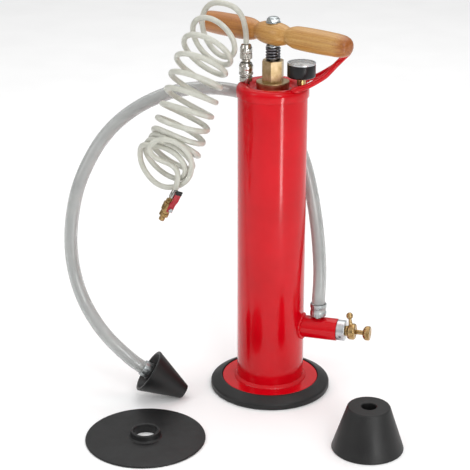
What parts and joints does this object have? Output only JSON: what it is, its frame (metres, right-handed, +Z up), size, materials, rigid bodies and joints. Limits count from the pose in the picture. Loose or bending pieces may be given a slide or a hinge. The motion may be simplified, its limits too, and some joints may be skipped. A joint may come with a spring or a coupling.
{
  "type": "hand vacuum pump",
  "caption": "Upright hand vacuum pump: reservoir cylinder with inner piston pump, T-handle, dial gauge, clear hose with rubber cone, coiled air tube with ball valve, loose sealing adaptors.",
  "frame": {"origin": "centre of the rubber foot's underside, on the floor", "axes": "+Z up along the cylinder, +X along the side stub"},
  "size_m": [0.5426, 0.3978, 0.5899],
  "materials": {
    "red_painted_steel": "high gloss enamel over welded steel",
    "lever_red_coating": "dip-coated lever",
    "black_rubber": "moulded, matt",
    "brass": "turned, lightly tarnished",
    "plated_steel": "zinc or nickel plated",
    "aluminium": "turned",
    "varnished_beech": "varnished, turned",
    "black_plastic": "moulded",
    "dial_white": "printed dial",
    "gauge_glass": "clear",
    "clear_hose": "clear flexible PVC",
    "milky_tube": "translucent nylon"
  },
  "bodies": {
    "pump_body": {"base_rubber_foot": "black_rubber", "base_flange": "red_painted_steel", "reservoir_tube": "red_painted_steel", "reservoir_top_cap": "red_painted_steel", "side_stub_pipe": "red_painted_steel", "stub_weld_bead": "red_painted_steel", "carry_bail": "red_painted_steel", "gland_body": "brass", "gland_gasket": "black_rubber", "rod_wiper_seal": "black_rubber", "bumper_spring": "plated_steel", "pump_barrel": "plated_steel", "barrel_foot": "aluminium", "foot_valve_spring": "plated_steel", "foot_valve_cage": "brass", "gauge_stem": "brass", "gauge_case": "black_plastic", "gauge_movement": "brass", "gauge_dial": "dial_white", "gauge_lens": "gauge_glass", "gauge_bezel": "plated_steel", "coupler_body": "plated_steel", "coupler_spring": "plated_steel", "coupler_plug": "plated_steel", "coupler_tube_nut": "plated_steel", "stub_end_plug": "aluminium", "end_plug_grub_screw": "plated_steel", "release_valve_body": "brass", "release_valve_spring": "plated_steel", "hose_barb": "plated_steel", "hose_clamp": "plated_steel", "suction_hose": "clear_hose", "suction_cone": "black_rubber", "cone_hose_collar": "plated_steel", "air_tube_lead": "milky_tube", "air_tube_coil": "milky_tube", "air_tube_tail": "milky_tube", "mini_valve_tube_nut": "plated_steel", "mini_valve_body": "brass", "air_nozzle": "brass"},
    "piston": {"piston_nut": "plated_steel", "piston_washer": "plated_steel", "piston_cup_seal": "black_rubber", "piston_head": "aluminium"},
    "rod_and_handle": {"piston_rod": "plated_steel", "wooden_handle": "varnished_beech", "handle_lower_washer": "plated_steel", "handle_upper_washer": "plated_steel", "handle_dome_nut": "plated_steel"},
    "gauge_needle": {"gauge_pointer": "black_plastic"},
    "coupler_sleeve": {"coupler_sleeve": "plated_steel"},
    "release_lever": {"release_valve_lever": "brass"},
    "release_plunger": {"release_valve_stem": "brass", "release_valve_pad": "black_rubber"},
    "mini_valve_handle": {"mini_valve_ball": "plated_steel", "mini_valve_stem": "plated_steel", "mini_valve_lever": "lever_red_coating"},
    "foot_valve": {"foot_valve_disc": "black_rubber"},
    "sealing_disc": {"sealing_disc": "black_rubber"},
    "sealing_frustum": {"sealing_frustum": "black_rubber"}
  },
  "joints": [
    {"name": "rod_stroke", "type": "slide", "parent": "pump_body", "child": "piston", "axis": [0, 0, 1], "range_m": [0, 0.34]},
    {"name": "handle_turn", "type": "hinge", "parent": "piston", "child": "rod_and_handle", "pos_m": [0, 0, 0.5525], "axis": [0, 0, 1], "range_deg": [-60, 0]},
    {"name": "gauge_needle_turn", "type": "hinge", "parent": "pump_body", "child": "gauge_needle", "pos_m": [0.042, 0, 0.5092], "axis": [0, 0, 1], "range_deg": [-270, 0], "stiffness_Nm_per_rad": 0.0001},
    {"name": "coupler_sleeve_slide", "type": "slide", "parent": "pump_body", "child": "coupler_sleeve", "axis": [0, 0, 1], "range_m": [-0.0028, 0], "stiffness_N_per_m": 600, "deforming": ["coupler_spring"]},
    {"name": "release_lever_turn", "type": "hinge", "parent": "pump_body", "child": "release_lever", "pos_m": [0.1272, 0, 0.1047], "axis": [1, 0, 0], "range_deg": [0, 90]},
    {"name": "release_plunger_slide", "type": "slide", "parent": "pump_body", "child": "release_plunger", "axis": [1, 0, 0], "range_m": [0, 0.005], "stiffness_N_per_m": 800, "deforming": ["release_valve_spring"]},
    {"name": "mini_valve_turn", "type": "hinge", "parent": "pump_body", "child": "mini_valve_handle", "pos_m": [-0.12956, -0.09648, 0.31168], "axis": [0.6036, -0.7765, -0.181], "range_deg": [0, 90]},
    {"name": "foot_valve_lift", "type": "slide", "parent": "pump_body", "child": "foot_valve", "axis": [0, 0, 1], "range_m": [0, 0.002], "stiffness_N_per_m": 60, "deforming": ["foot_valve_spring"]},
    {"name": "sealing_disc_lift", "type": "slide", "parent": "pump_body", "child": "sealing_disc", "axis": [0, 0, 1], "range_m": [0, 0.3]},
    {"name": "sealing_frustum_lift", "type": "slide", "parent": "pump_body", "child": "sealing_frustum", "axis": [0, 0, 1], "range_m": [0, 0.3]}
  ]
}
